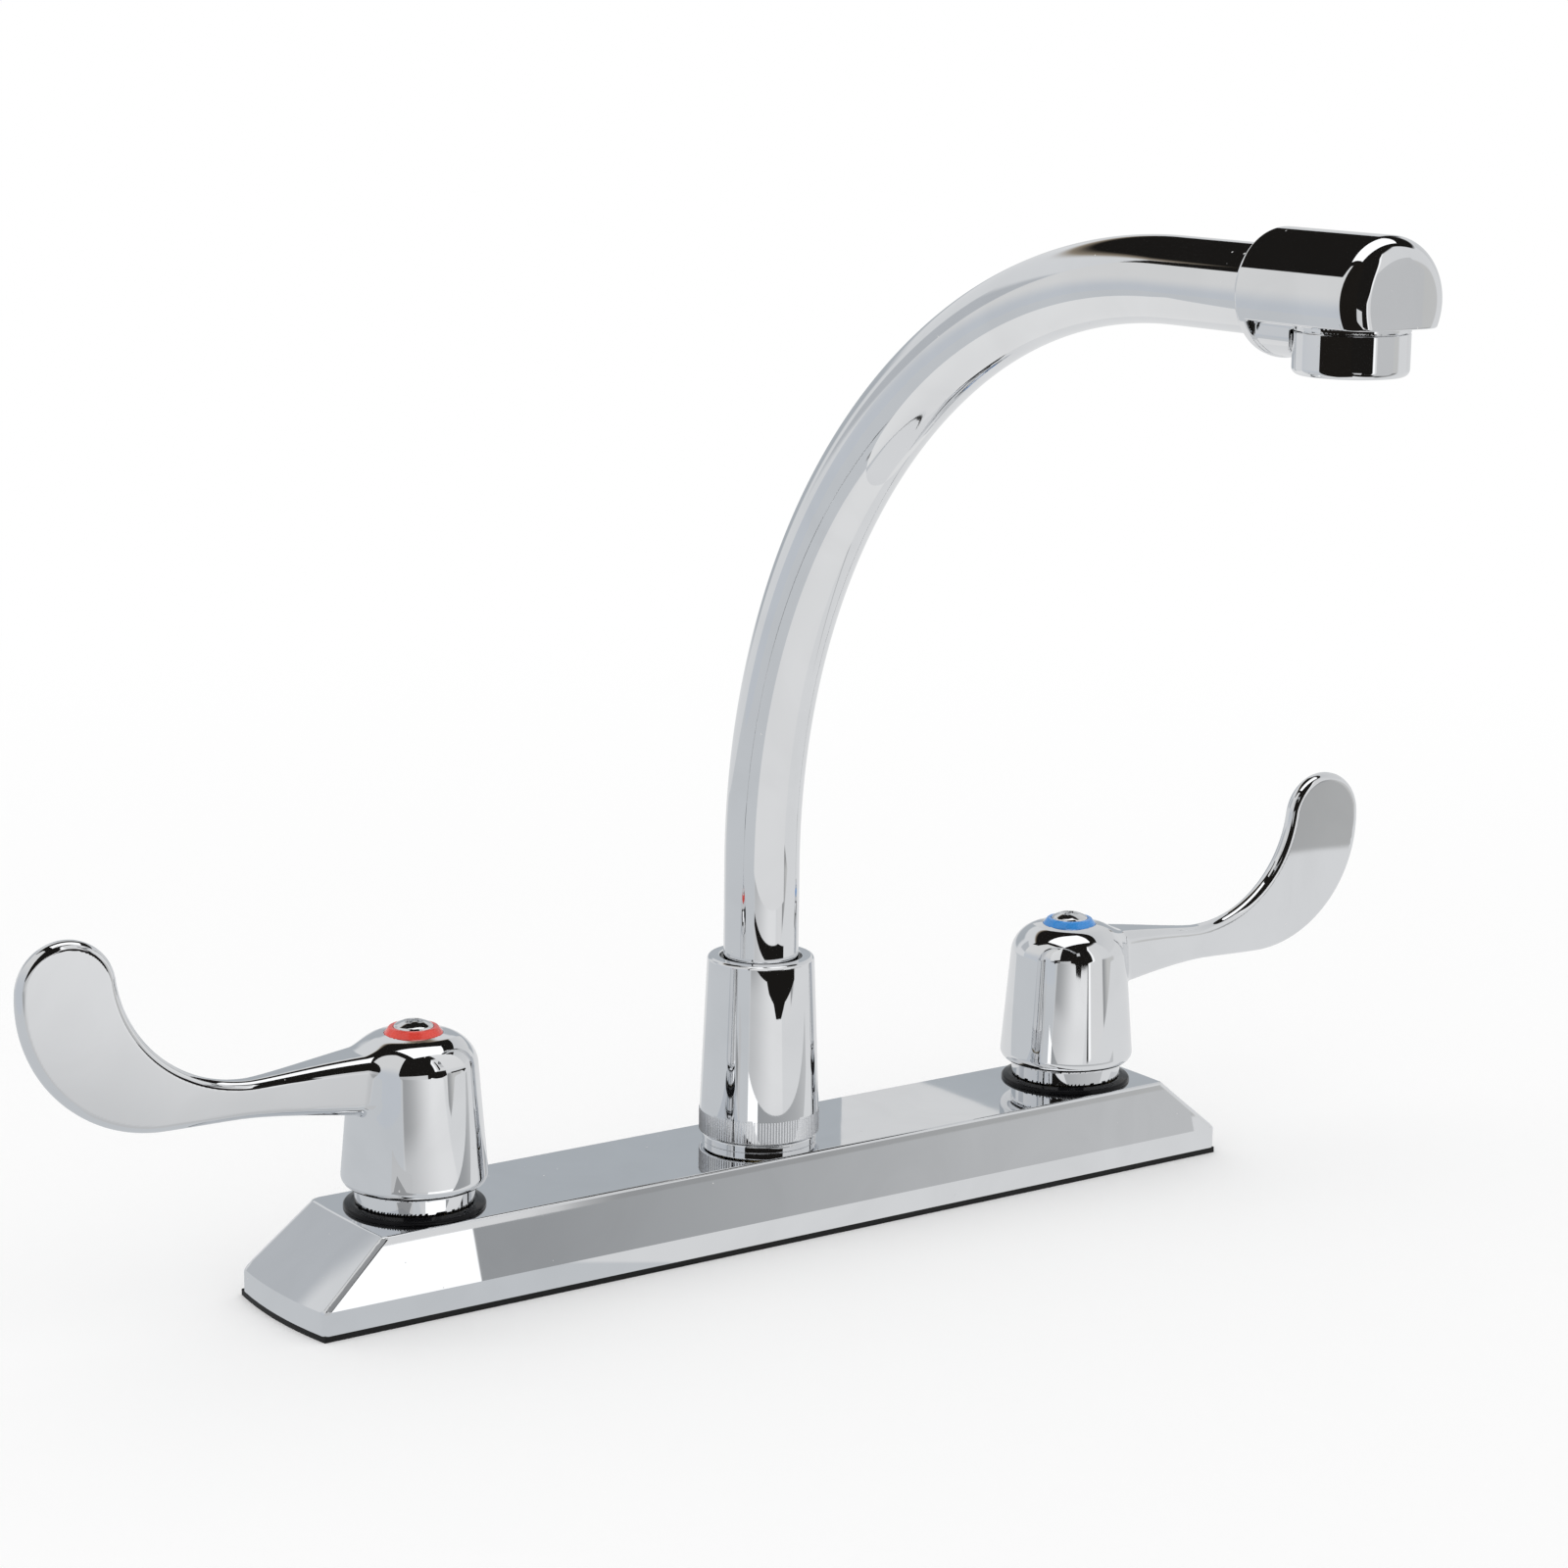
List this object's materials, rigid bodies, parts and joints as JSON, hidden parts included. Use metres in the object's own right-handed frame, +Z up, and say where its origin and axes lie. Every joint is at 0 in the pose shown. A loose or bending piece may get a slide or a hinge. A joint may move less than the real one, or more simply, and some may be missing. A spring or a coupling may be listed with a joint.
{
  "type": "wrist blade kitchen faucet",
  "caption": "Deck-mounted two-handle kitchen faucet with a long low plate, tall swing spout, lying outlet head and wrist blade handles.",
  "frame": {"origin": "middle of the gasket's underside, on the surface of the deck, on the spout's swivel axis", "axes": "+Z up, +X to the cold handle, -Y towards the user and along the spout's reach"},
  "size_m": [0.4004, 0.2405, 0.3124],
  "materials": {
    "chrome": "polished chrome plate on brass",
    "screw_chrome": "polished chrome plate on steel",
    "brass": "machined brass",
    "copper": "drawn copper tube",
    "stainless_steel": "stainless steel",
    "black_rubber": "black rubber",
    "black_plastic": "glossy black plastic",
    "white_plastic": "white acetal",
    "red_plastic": "glossy red plastic",
    "blue_plastic": "glossy blue plastic",
    "ceramic": "lapped alumina ceramic"
  },
  "bodies": {
    "base": {"cold_base_ring": "black_plastic", "cold_cartridge_housing": "brass", "cold_crossover_tube": "copper", "cold_fixed_disc": "ceramic", "cold_locknut": "brass", "cold_seat_seal": "black_rubber", "cold_shank_washer": "stainless_steel", "cold_valve_body": "brass", "deck_gasket": "black_rubber", "deck_plate": "chrome", "hot_base_ring": "black_plastic", "hot_cartridge_housing": "brass", "hot_crossover_tube": "copper", "hot_fixed_disc": "ceramic", "hot_locknut": "brass", "hot_seat_seal": "black_rubber", "hot_shank_washer": "stainless_steel", "hot_valve_body": "brass", "spout_base_ring": "chrome", "spout_hub_body": "brass", "spout_nut": "chrome", "spout_thrust_washer": "white_plastic"},
    "spout": {"spout_tube": "chrome", "spout_bushing": "brass", "spout_o_rings": "black_rubber", "spout_head": "chrome", "aerator_housing": "chrome", "aerator_washer": "black_rubber", "aerator_insert": "white_plastic", "aerator_screen": "stainless_steel"},
    "hot_lever": {"hot_handle": "chrome", "hot_index_ring": "red_plastic", "hot_handle_screw": "screw_chrome", "hot_stem": "brass", "hot_stem_o_rings": "black_rubber", "hot_retaining_clip": "stainless_steel", "hot_moving_disc": "ceramic"},
    "cold_lever": {"cold_handle": "chrome", "cold_index_ring": "blue_plastic", "cold_handle_screw": "screw_chrome", "cold_stem": "brass", "cold_stem_o_rings": "black_rubber", "cold_retaining_clip": "stainless_steel", "cold_moving_disc": "ceramic"}
  },
  "joints": [
    {"name": "hot_turn", "type": "hinge", "parent": "base", "child": "hot_lever", "pos_m": [-0.1016, 0, 0.022], "axis": [0, 0, 1], "range_deg": [0, 90]},
    {"name": "cold_turn", "type": "hinge", "parent": "base", "child": "cold_lever", "pos_m": [0.1016, 0, 0.022], "axis": [0, 0, -1], "range_deg": [0, 90]},
    {"name": "spout_swivel", "type": "hinge", "parent": "base", "child": "spout", "pos_m": [0, 0, 0.0667], "axis": [0, 0, 1], "continuous": true}
  ]
}
